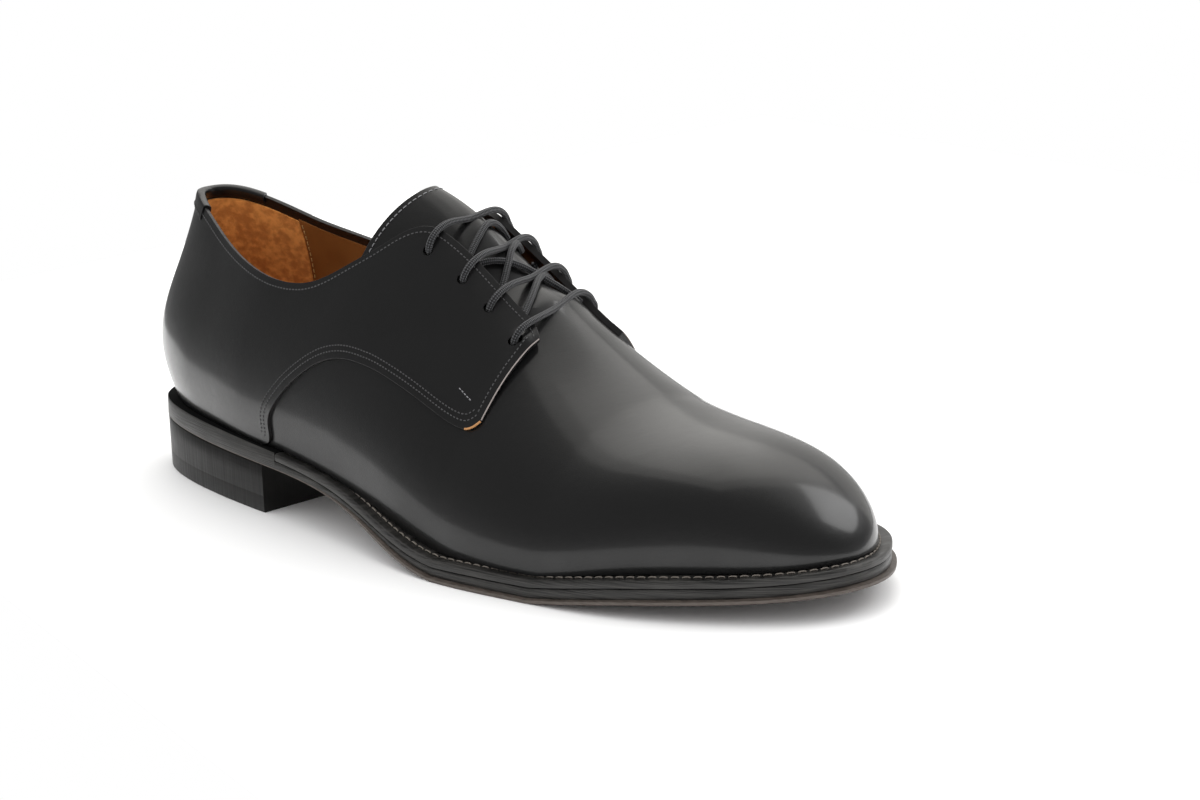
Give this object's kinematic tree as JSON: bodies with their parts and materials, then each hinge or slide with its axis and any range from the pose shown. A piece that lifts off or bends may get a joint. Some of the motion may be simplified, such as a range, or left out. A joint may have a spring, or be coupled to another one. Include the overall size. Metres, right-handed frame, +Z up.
{
  "type": "derby shoe",
  "caption": "Black leather derby dress shoe for the right foot, open laced over a tall tongue, with a slim rounded toe, stitched welt, leather sole and low stacked heel.",
  "frame": {"origin": "middle of the shoe's box in plan, on the floor it stands on", "axes": "+X from heel to toe, +Y to the foot's inner side, +Z up"},
  "size_m": [0.3032, 0.1128, 0.1093],
  "materials": {
    "calf": "polished black box calf",
    "board": "smooth tan leather",
    "sole_leather": "black stained sole leather with a waxed edge",
    "lace": "round waxed cotton, very dark grey"
  },
  "bodies": {
    "root": {"upper": "calf", "tongue": "calf", "back_tab": "calf", "insole": "board", "welt": "sole_leather", "outsole": "sole_leather", "heel": "sole_leather", "lace_bar_1": "lace", "lace_bar_2": "lace", "lace_bar_3": "lace", "lace_bar_4": "lace", "lace_run_top": "lace", "lace_crossings": "lace"}
  },
  "joints": []
}
